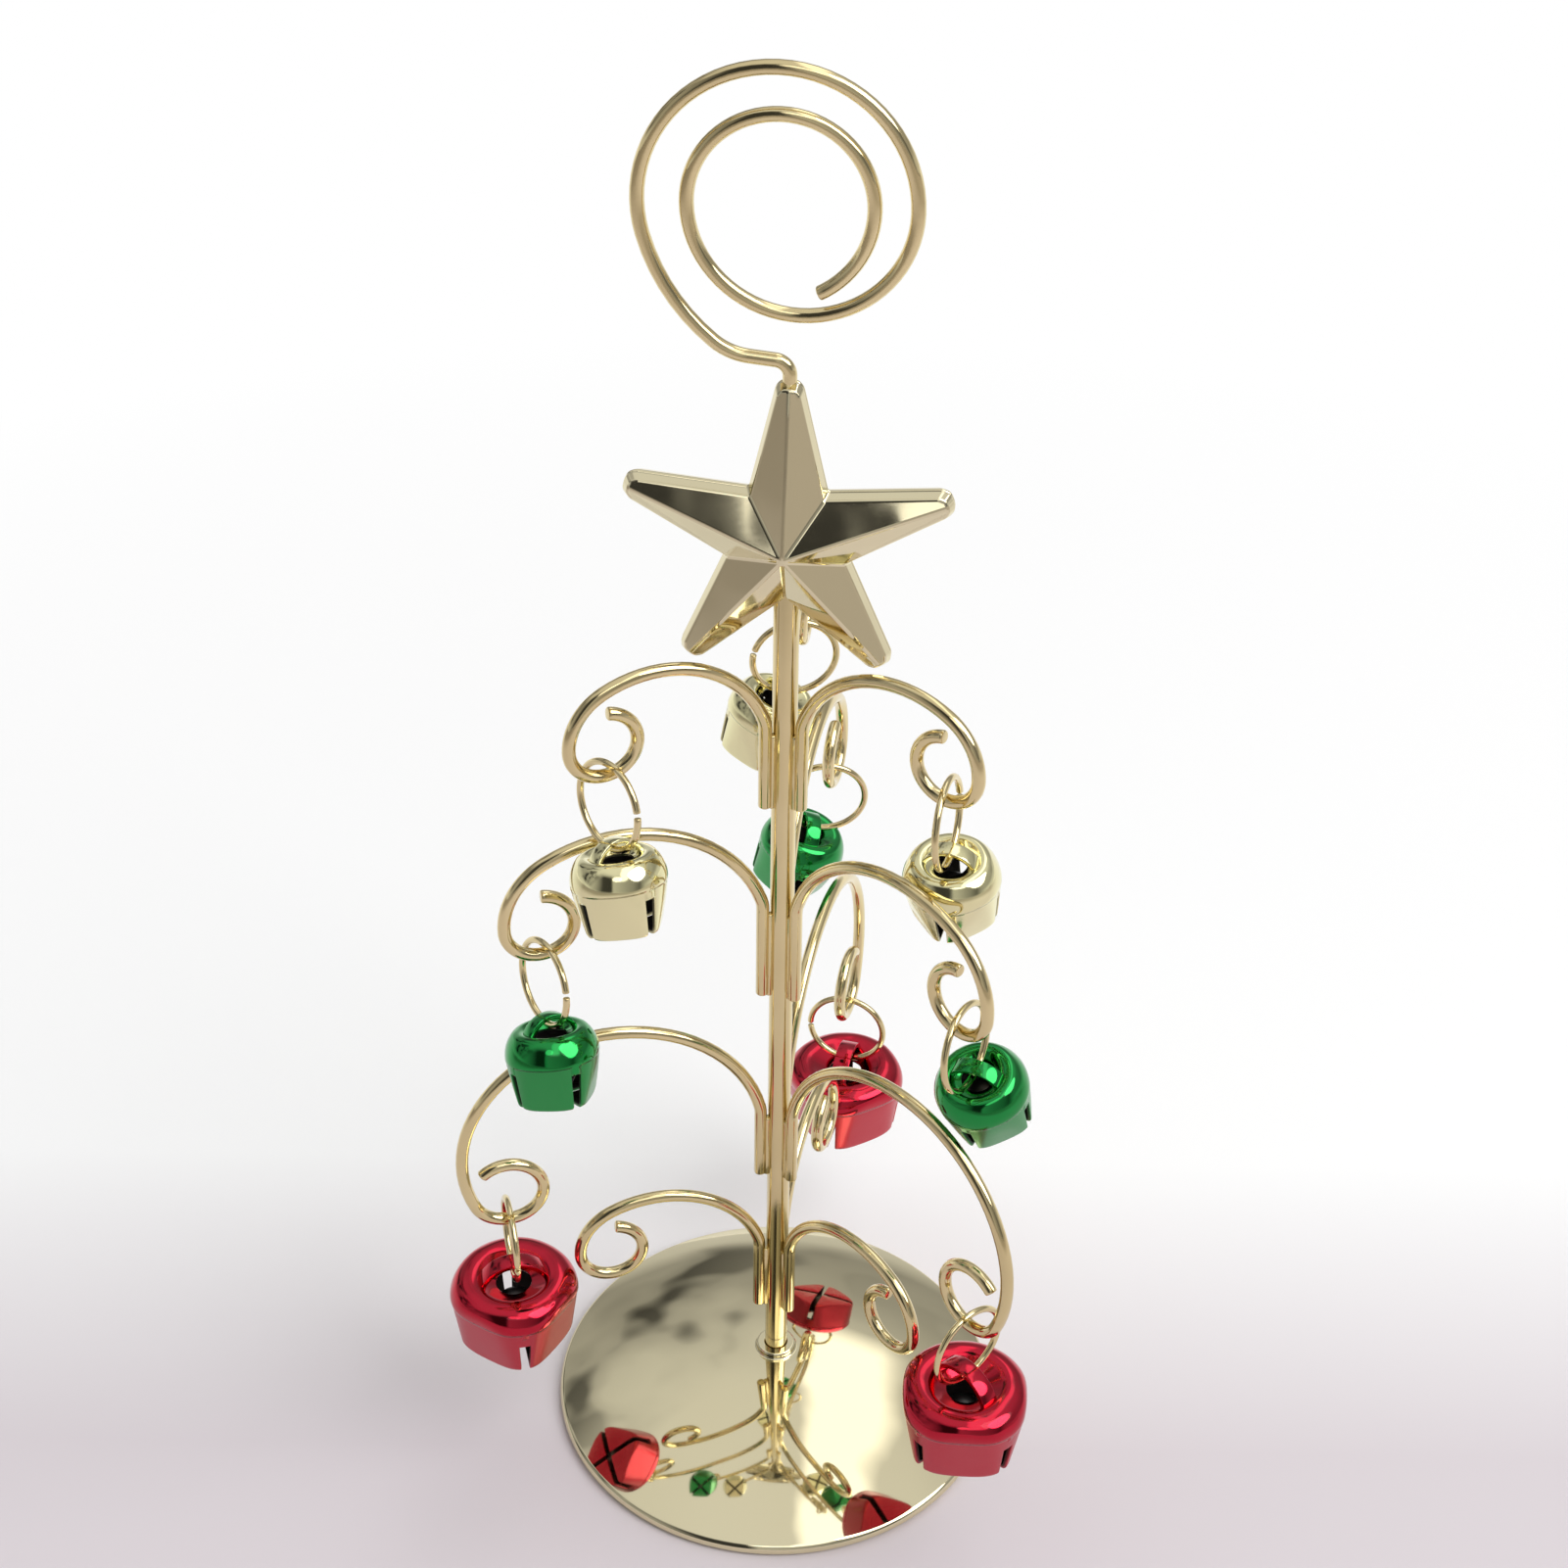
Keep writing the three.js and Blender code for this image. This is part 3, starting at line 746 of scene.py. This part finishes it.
class TREE_OT_clip(bpy.types.Operator):
    """Bends the card clip's spiral from one wire"""
    bl_idname = "card_tree.clip"
    bl_label = "Card clip"

    def execute(self, context):
        tree = tree_sizes()
        sizes = tree.clip
        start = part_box("card_clip")[0].z
        bm = bmesh.new()
        pen = wire_pen(bm, sizes.wire, (0, start), pi / 2)
        pen.run(sizes.leg)
        pen.bend(sizes.neck_radius, sizes.neck_turn)
        pen.run(sizes.neck_run)
        for radius, bend in zip(sizes.radii, sizes.turns):
            pen.bend(radius * MM, -radians(bend))
        cap_wire(bm, tree.arm_wire.cut_round)
        bmesh.ops.rotate(bm, matrix=Matrix.Rotation(tree.star.turned, 3, "Z"), verts=bm.verts)
        wire = finish("drawn_wire", drawn_wire, tree.colours)
        piece = add_piece("spiral_clip", bm, wire, "tree", "card_clip")
        soften(piece, tree.arm_wire.soft_edge)
        return {"FINISHED"}


class TREE_OT_arms(bpy.types.Operator):
    """Bends the arms of all tiers and sets each on its place round the stem"""
    bl_idname = "card_tree.arms"
    bl_label = "Arms"

    def execute(self, context):
        tree = tree_sizes()
        wire = finish("drawn_wire", drawn_wire, tree.colours)
        for node in [name for name in frame["nodes"] if name.startswith("arm_")]:
            tier = node.rpartition("_")[0]
            bm = self.bent(getattr(tree, tier), tree.arm_wire)
            bmesh.ops.transform(bm, matrix=self.seat(node, bm), verts=bm.verts)
            piece = add_piece(f"wire_{node}", bm, wire, "tree", node)
            soften(piece, tree.arm_wire.soft_edge)
        return {"FINISHED"}

    def bent(self, sizes, stock):
        bm = bmesh.new()
        pen = wire_pen(bm, stock.wire, (stock.reach, -sizes.leg), pi / 2)
        pen.run(sizes.leg)
        for radius, bend in zip(sizes.radii, sizes.turns):
            pen.bend(radius * MM, -radians(bend))
        weld = wire_pen(bm, stock.weld, (stock.weld_reach, -sizes.leg - stock.weld_foot), pi / 2)
        weld.run(sizes.leg + stock.weld_foot - stock.weld_top)
        cap_wire(bm, stock.cut_round)
        return bm

    def seat(self, node, bm):
        """Turns the arm to the compass place of its node, with their tops level"""
        corners = [vertex.co for vertex in frame["nodes"][node].data.vertices]
        middle = sum(corners, Vector()) / len(corners)
        top = max(vertex.co.z for vertex in bm.verts)
        lift = Matrix.Translation((0, 0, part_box(node)[1].z - top))
        return lift @ Matrix.Rotation(atan2(middle.y, middle.x), 4, "Z")


class TREE_OT_rings(bpy.types.Operator):
    """Makes the cut jump rings, each hung on its arm's curl"""
    bl_idname = "card_tree.rings"
    bl_label = "Jump rings"

    def execute(self, context):
        tree = tree_sizes()
        sizes = tree.ring
        wire = finish("drawn_wire", drawn_wire, tree.colours)
        bend = (sizes.diameter - sizes.wire) / 2
        above = (tree.arm_wire.wire + sizes.wire) / 2 + sizes.loose
        for label in BELL_LABELS:
            bm = bmesh.new()
            pen = wire_pen(bm, sizes.wire, (bend, 0), pi / 2)
            pen.bend(bend, 2 * pi - sizes.cut / bend)
            cap_wire(bm, sizes.cut_round)
            hung = Matrix.Translation((0, 0, above - bend)) @ Matrix.Rotation(pi / 2, 4, "Z")
            placed = hang_matrix(f"swing_ring_{label}", label) @ hung
            bmesh.ops.transform(bm, matrix=placed, verts=bm.verts)
            node = f"ring_{label}"
            piece = add_piece(f"jump_{node}", bm, wire, node, node)
            soften(piece, sizes.soft_edge)
        return {"FINISHED"}


class TREE_OT_bells(bpy.types.Operator):
    """Makes the jingle bells: a spun shell, pressed flats, cut slots and a strap"""
    bl_idname = "card_tree.bells"
    bl_label = "Jingle bells"

    STEP_FALL = 3  # how far the step under the crease falls for each unit that it goes in
    OPEN_FOOT = 0.1  # share of the radius that is left open in the middle of the foot
    LONG_EDGE = 0.3  # share of the radius above which an edge of the profile is cut up
    CUTS = 24  # and by how many points

    def execute(self, context):
        tree = tree_sizes()
        for label in BELL_LABELS:
            tint = label.partition("_")[0]
            slot = f"bell_{tint}"
            sizes = getattr(tree, slot)
            bm = self.shell(sizes, tree.bell_form)
            self.press_flats(bm, sizes, tree.bell_form)
            self.cut_slots(bm, sizes)
            self.thicken(bm, sizes)
            self.add_strap(bm, sizes, tree.ring)
            placed = hang_matrix(f"tilt_bell_{label}", label)
            bmesh.ops.transform(bm, matrix=placed, verts=bm.verts)
            shade = tuple(getattr(tree.colours, slot))
            dullness = getattr(tree.bell_form, f"satin_{tint}")
            name = f"lacquer_{tint}"
            # the inside colour is painted near black as shade
            lacquer = finish(name, bell_lacquer, name, shade, tuple(tree.colours.bare_and_shade), dullness)
            node = f"bell_{label}"
            piece = add_piece(f"jingle_{node}", bm, lacquer, node, node)
            soften(piece, tree.bell_form.soft_edge, angle=60, thin=True)
        return {"FINISHED"}

    def shell(self, sizes, form):
        """Draws the wall from the crease up over the rim into the dish, and down to the foot, and spins it"""
        bm = bmesh.new()
        crown = -sizes.hump
        radius = sizes.diameter / 2
        waist = crown - sizes.crease
        rise, spread = sin(form.shoulder), cos(form.shoulder)
        flatter = (1 - spread) / rise
        rim = (radius - sizes.lip / 2 - sizes.crease * flatter) / (spread - (1 - rise) * flatter)
        shoulder = (sizes.crease - rim * (1 - rise)) / rise
        pen = profile_pen(bm, radius, waist, pi / 2)
        first = pen.geom
        pen.bend(shoulder, form.shoulder)
        pen.bend(rim, pi / 2 - form.shoulder + form.dish)
        pen.run((pen.place.x - sizes.mouth / 2) / cos(form.dish))
        under = Pen(bm, first, (radius, waist))
        foot = (sizes.foot / 2, crown - sizes.height)
        under.go(radius - sizes.step, waist - self.STEP_FALL * sizes.step)
        under.corner(foot, (0, foot[1]), sizes.turn_under)
        under.go(self.OPEN_FOOT * radius, foot[1])
        long_edges = [edge for edge in bm.edges if edge.calc_length() > self.LONG_EDGE * radius]
        bmesh.ops.subdivide_edges(bm, edges=long_edges, cuts=self.CUTS)
        revolve(bm, BELL_STEPS)
        return bm

    def press_flats(self, bm, sizes, form):
        """Presses the four flats into the round wall, and marks them satin below the crease"""
        satin = bm.verts.layers.float.new("satin")
        crown = -sizes.hump
        edge = crown - sizes.crease - sizes.step / 2
        for vertex in bm.verts:
            radius = hypot(vertex.co.x, vertex.co.y)
            depth = (crown - vertex.co.z) / sizes.height
            flat = sizes.flat_top + (sizes.flat_foot - sizes.flat_top) * depth
            aside = atan2(vertex.co.y, vertex.co.x) % (pi / 2) - pi / 4
            share = radius * cos(aside) / (flat / 2)
            vertex.co.xy *= (1 + share ** form.sharpness) ** (-1 / form.sharpness)
            vertex[satin] = float(vertex.co.z < edge and share * form.satin_reach > 1)

    def cut_slots(self, bm, sizes):
        """Cuts both slots along slanted planes and takes out what lies between them"""
        top = -sizes.hump - sizes.slot_depth
        fall = sizes.height - sizes.slot_depth
        slant = (sizes.slot - sizes.slot_foot) / 2 / fall

        def half_at(z):
            return sizes.slot / 2 + slant * (z - top)

        bmesh.ops.bisect_plane(
            bm, geom=bm.verts[:] + bm.edges[:] + bm.faces[:], plane_co=(0, 0, top), plane_no=(0, 0, 1),
        )
        for axis in (0, 1):
            for side in (-1, 1):
                low = [face for face in bm.faces if face.calc_center_median().z < top]
                geom = all_of(low, "verts") + all_of(low, "edges") + low
                through = Vector((0, 0, top))
                through[axis] = side * sizes.slot / 2
                normal = Vector((0, 0, -slant))
                normal[axis] = side
                bmesh.ops.bisect_plane(bm, geom=geom, plane_co=through, plane_no=normal)
        gone = []
        for face in bm.faces:
            middle = face.calc_center_median()
            if middle.z < top and min(abs(middle.x), abs(middle.y)) < half_at(middle.z):
                gone.append(face)
        bmesh.ops.delete(bm, geom=gone, context="FACES")
        foot = -sizes.hump - sizes.height + NEAR
        level = [face for face in bm.faces if max(vertex.co.z for vertex in face.verts) < foot]
        bmesh.ops.dissolve_limit(
            bm, angle_limit=LEVEL_TURN, verts=all_of(level, "verts"), edges=all_of(level, "edges"),
        )
        bmesh.ops.remove_doubles(bm, verts=bm.verts, dist=NEAR)

    def thicken(self, bm, sizes):
        """Gives the wall its thickness, and marks the inner skin, left unlacquered and painted dark as shade"""
        inside = bm.verts.layers.float.new("inside")
        outer = set(bm.verts)
        bmesh.ops.solidify(bm, geom=bm.faces[:], thickness=sizes.wall)
        for vertex in bm.verts:
            vertex[inside] = float(vertex not in outer)

    def add_strap(self, bm, sizes, ring):
        """Bows a band over the mouth, high enough for the ring's wire"""
        crown = -sizes.hump
        top = ring.wire / 2 + ring.loose + sizes.strap_sheet
        reach = sizes.strap_reach
        root = crown - sizes.strap_sink
        slope = 2 * atan((top - root) / reach)
        pen = profile_pen(bm, -reach, root, slope)
        old = set(bm.verts) - set(pen.geom)
        pen.bend(reach / sin(slope), -2 * slope)
        line = [edge for edge in bm.edges if not old.intersection(edge.verts)]
        swept = bmesh.ops.extrude_edge_only(bm, edges=line)["geom"]
        band = [part for part in swept if isinstance(part, bmesh.types.BMFace)]
        ends = [part for part in swept if isinstance(part, bmesh.types.BMVert)]
        bmesh.ops.translate(bm, vec=(0, sizes.strap, 0), verts=ends)
        bmesh.ops.translate(bm, vec=(0, -sizes.strap / 2, 0), verts=all_of(band, "verts"))
        bmesh.ops.recalc_face_normals(bm, faces=band)
        if band[len(band) // 2].normal.z < 0:
            bmesh.ops.reverse_faces(bm, faces=band)
        bmesh.ops.solidify(bm, geom=band, thickness=sizes.strap_sheet)


class TREE_OT_pellets(bpy.types.Operator):
    """Makes the loose balls inside the bells, each with its rolled seam"""
    bl_idname = "card_tree.pellets"
    bl_label = "Pellets"

    LEVEL = 0.01 * MM  # how near a vertex lies to the level of the ball's centre

    def execute(self, context):
        tree = tree_sizes()
        form = tree.pellet_form
        steel = finish("plain_steel", plain_steel, tree.colours)
        for label in BELL_LABELS:
            sizes = getattr(tree, f"bell_{label.partition('_')[0]}")
            node = f"pellet_{label}"
            low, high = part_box(node)
            bm = bmesh.new()
            radius = sizes.pellet / 2 - form.undersize
            bmesh.ops.create_uvsphere(bm, u_segments=32, v_segments=16, radius=radius)
            belt = set(self.middle(bm))
            seam = [edge for edge in bm.edges if belt.issuperset(edge.verts)]
            bmesh.ops.bevel(
                bm, geom=seam, offset=form.seam, segments=2, profile=0.5, affect="EDGES", material=-1,
            )
            bmesh.ops.scale(bm, vec=(form.belt, form.belt, 1), verts=self.middle(bm))
            bmesh.ops.translate(bm, vec=(low + high) / 2, verts=bm.verts)
            add_piece(f"loose_{node}", bm, steel, node, node)
        return {"FINISHED"}

    def middle(self, bm):
        """The vertices at the level of the ball's centre"""
        return [vertex for vertex in bm.verts if abs(vertex.co.z) < self.LEVEL]


class TREE_OT_stage(bpy.types.Operator):
    """Sets the pale floor, the soft lights, the surroundings and the camera"""
    bl_idname = "card_tree.stage"
    bl_label = "Stage"

    FLOOR_REACH = 4.0
    FLOOR_SIDES = 64
    FLOOR_START = -0.01  # behind this place the floor grows paler
    FLOOR_FADE = 0.05  # over this length near the tree
    FLOOR_FADE_FAR = 0.8  # and this much more far away
    FLOOR_ROUGH = 0.6

    # Ramps over the floor, by the distance from the tree
    # The far floor is painted darker, as light falling off away from the tree
    TO_FAR_SHADE = ((0.24, 0.0), (0.52, 1.0))  # from the pale floor to the far one
    TO_WIDE = ((0.12, 0.0), (1.0, 1.0))  # from the short fade to the long one
    TO_WHITE = ((0.1, 0.0), (0.3, 1.0))  # beyond the tree's shadow, the floor behind it is plain white

    # Ramps over the room's light: by height, from the left to the right, or from the back to the front
    HIGH_LIGHT = (
        (0.0, 0.64), (0.08, 0.6), (0.18, 0.34), (0.42, 0.42), (0.62, 0.6), (0.85, 0.74), (1.0, 0.78),
    )
    FRONT_LIGHT = (
        (0.0, 0.6), (0.25, 0.05), (0.41, 0.04), (0.45, 0.5), (0.8, 0.25), (0.9, 0.12), (1.0, 0.5),
    )
    FRONT_SIDE = ((0.15, 0.0), (0.5, 1.0))
    FRONT_HEIGHT = ((0.0, 0.7), (0.05, 1.0), (0.76, 1.0), (0.92, 0.0))
    CLUTTER_LIGHT = ((0.43, 0.05), (0.5, 0.75), (0.62, 1.0))
    CLUTTER_SIDE = ((0.35, 1.0), (0.6, 0.15))
    CLUTTER_HEIGHT = ((0.06, 0.0), (0.16, 1.0), (0.6, 0.8), (0.85, 0.0))
    CLUTTER_SCALE = 3.2
    CLUTTER_DETAIL = 2.0
    STRIP_SIDE = ((0.18, 0.0), (0.23, 1.0), (0.42, 1.0), (0.5, 0.0))
    STRIP_HEIGHT = ((0.6, 0.0), (0.68, 1.0))
    STRIP_WAVER = 0.2
    STRIP_LIGHT = (1.6, 1.6, 1.6)
    ROOM_LIGHT = 1.05

    CAMERA_PLACE = (0, -222.77 * MM, 242.07 * MM)
    CAMERA_PITCH = radians(34.51)
    CAMERA_ROLL = radians(0.84)
    CAMERA_LENS = 60.33
    CAMERA_SENSOR = 36
    CAMERA_NEAR = 0.01
    LAMP_AIM = Vector((0, 0, 70 * MM))
    LAMPS = (  # name, place, diameter and power
        ("key", (1.6, -0.7, 1.8), 2.0, 36.0),
        ("glint", (-0.005, -0.72, 0.877), 0.34, 0.38),
    )

    def execute(self, context):
        self.floor(context)
        self.lamps(context)
        self.surroundings(context)
        self.camera(context)
        context.scene.view_settings.view_transform = "Standard"
        return {"FINISHED"}

    def floor(self, context):
        bm = bmesh.new()
        bmesh.ops.create_circle(bm, cap_ends=True, segments=self.FLOOR_SIDES, radius=self.FLOOR_REACH)
        mesh = bpy.data.meshes.new("floor")
        bm.to_mesh(mesh)
        bm.free()
        plane = bpy.data.objects.new("floor", mesh)
        context.scene.collection.objects.link(plane)
        material, wiring = new_material("floor")
        colours = tree_sizes().colours
        spot = wiring.value("ShaderNodeTexCoord", "Object")
        place = wiring.add("ShaderNodeSeparateXYZ", None, {0: spot})
        spread = wiring.value("ShaderNodeVectorMath", "Value", {"operation": "LENGTH"}, {0: spot})
        far_shade = grey_ramp(wiring, spread, self.TO_FAR_SHADE)
        fade = self.FLOOR_FADE + self.FLOOR_FADE_FAR * grey_ramp(wiring, spread, self.TO_WIDE)
        back = (Value(wiring, place.outputs["Y"]) - self.FLOOR_START) * fade ** -1.0
        # painted light falloff: the floor in front darkens far from the tree
        front = blended(wiring, far_shade, opaque(colours.floor), opaque(colours.floor_far_shade))
        shade = blended(wiring, back, front, opaque(colours.floor_back))
        paper = wiring.value(
            "ShaderNodeBsdfPrincipled", "BSDF", None, {"Base Color": shade, "Roughness": self.FLOOR_ROUGH},
        )
        white = wiring.value("ShaderNodeEmission", 0, None, {"Color": opaque(WHITE), "Strength": 1.0})
        rays = wiring.add("ShaderNodeLightPath")
        kinds = ("Is Camera Ray", "Is Glossy Ray", "Is Transmission Ray")
        seen = sum(Value(wiring, rays.outputs[kind]) for kind in kinds)
        clear = grey_ramp(wiring, spread, self.TO_WHITE)
        bright = clear * grey_ramp(wiring, back, ((0.0, 0.0), (1.0, 1.0)))
        surface = wiring.value("ShaderNodeMixShader", 0, None, {0: seen * bright, 1: paper, 2: white})
        wiring.add("ShaderNodeOutputMaterial", None, {"Surface": surface})
        mesh.materials.append(material)

    def lamps(self, context):
        for name, place, size, power in self.LAMPS:
            lamp = bpy.data.lights.new(name, "AREA")
            lamp.shape = "DISK"
            lamp.size = size
            lamp.energy = power
            holder = bpy.data.objects.new(name, lamp)
            context.scene.collection.objects.link(holder)
            holder.location = place
            beam = self.LAMP_AIM - Vector(place)
            holder.rotation_euler = beam.to_track_quat("-Z", "Y").to_euler()

    def surroundings(self, context):
        world = bpy.data.worlds.new("studio")
        context.scene.world = world
        world.use_nodes = True
        wiring = Wiring(world.node_tree)
        way = wiring.value("ShaderNodeTexCoord", "Generated")
        parts = wiring.add("ShaderNodeSeparateXYZ", None, {0: way})
        side, ahead, height = (Value(wiring, parts.outputs[axis]) for axis in "XYZ")
        rightward = 0.5 + side * 0.5
        overhead = grey_ramp(wiring, height, self.HIGH_LIGHT)
        patches = wiring.value(
            "ShaderNodeTexNoise", "Fac", None,
            {"Vector": way, "Scale": self.CLUTTER_SCALE, "Detail": self.CLUTTER_DETAIL},
        )
        clutter = grey_ramp(wiring, patches, self.CLUTTER_LIGHT)
        to_left = grey_ramp(wiring, rightward, self.CLUTTER_SIDE)
        raised = grey_ramp(wiring, height, self.CLUTTER_HEIGHT)
        behind = wiring.value(
            "ShaderNodeMix", MIX_RESULT, {"data_type": "RGBA", "blend_type": "MULTIPLY"},
            {MIX_SHARE: raised * to_left, MIX_FIRST: overhead, MIX_SECOND: clutter},
        )
        halves = grey_ramp(wiring, rightward, self.FRONT_LIGHT)
        in_front = grey_ramp(wiring, ahead * -1.0, self.FRONT_SIDE)
        level = grey_ramp(wiring, height, self.FRONT_HEIGHT)
        room = blended(wiring, level * in_front, behind, halves)
        strip = grey_ramp(wiring, side + patches * self.STRIP_WAVER, self.STRIP_SIDE)
        aloft = grey_ramp(wiring, height, self.STRIP_HEIGHT)
        lit = blended(wiring, strip * aloft, room, opaque(self.STRIP_LIGHT))
        light = wiring.value("ShaderNodeBackground", 0, None, {"Color": lit, "Strength": self.ROOM_LIGHT})
        wiring.add("ShaderNodeOutputWorld", None, {"Surface": light})

    def camera(self, context):
        lens = bpy.data.cameras.new("camera")
        lens.lens = self.CAMERA_LENS
        lens.sensor_width = self.CAMERA_SENSOR
        lens.clip_start = self.CAMERA_NEAR
        viewer = bpy.data.objects.new("camera", lens)
        context.scene.collection.objects.link(viewer)
        tilt = Matrix.Rotation(pi / 2 - self.CAMERA_PITCH, 4, "X") @ Matrix.Rotation(self.CAMERA_ROLL, 4, "Z")
        viewer.matrix_world = Matrix.Translation(self.CAMERA_PLACE) @ tilt
        context.scene.camera = viewer


STEPS = (
    TREE_OT_foot, TREE_OT_stem, TREE_OT_star, TREE_OT_clip, TREE_OT_arms,
    TREE_OT_rings, TREE_OT_bells, TREE_OT_pellets, TREE_OT_stage,
)
GROUPS = (
    FootSizes, StemSizes, StarSizes, ClipSizes, SmallArm, MediumArm, LargeArm, ArmWire, RingSizes,
    SmallBell, LargeBell, BellForm, PelletForm, Colours, CardTree,
)


class TREE_PT_panel(bpy.types.Panel):
    """Lists the pieces in the order they are made"""
    bl_idname = "TREE_PT_panel"
    bl_label = "Card Display Tree"
    bl_space_type = "VIEW_3D"
    bl_region_type = "UI"
    bl_category = "Card Tree"

    def draw(self, context):
        for step in STEPS:
            self.layout.operator(step.bl_idname)


def register():
    for group in (*GROUPS, *STEPS, TREE_PT_panel):
        bpy.utils.register_class(group)
    bpy.types.Scene.card_tree = PointerProperty(type=CardTree)


def unregister():
    del bpy.types.Scene.card_tree
    for group in reversed((*GROUPS, *STEPS, TREE_PT_panel)):
        bpy.utils.unregister_class(group)


def main():
    register()
    for step in STEPS:
        category, name = step.bl_idname.split(".")
        getattr(getattr(bpy.ops, category), name)()


if __name__ == "__main__":
    main()
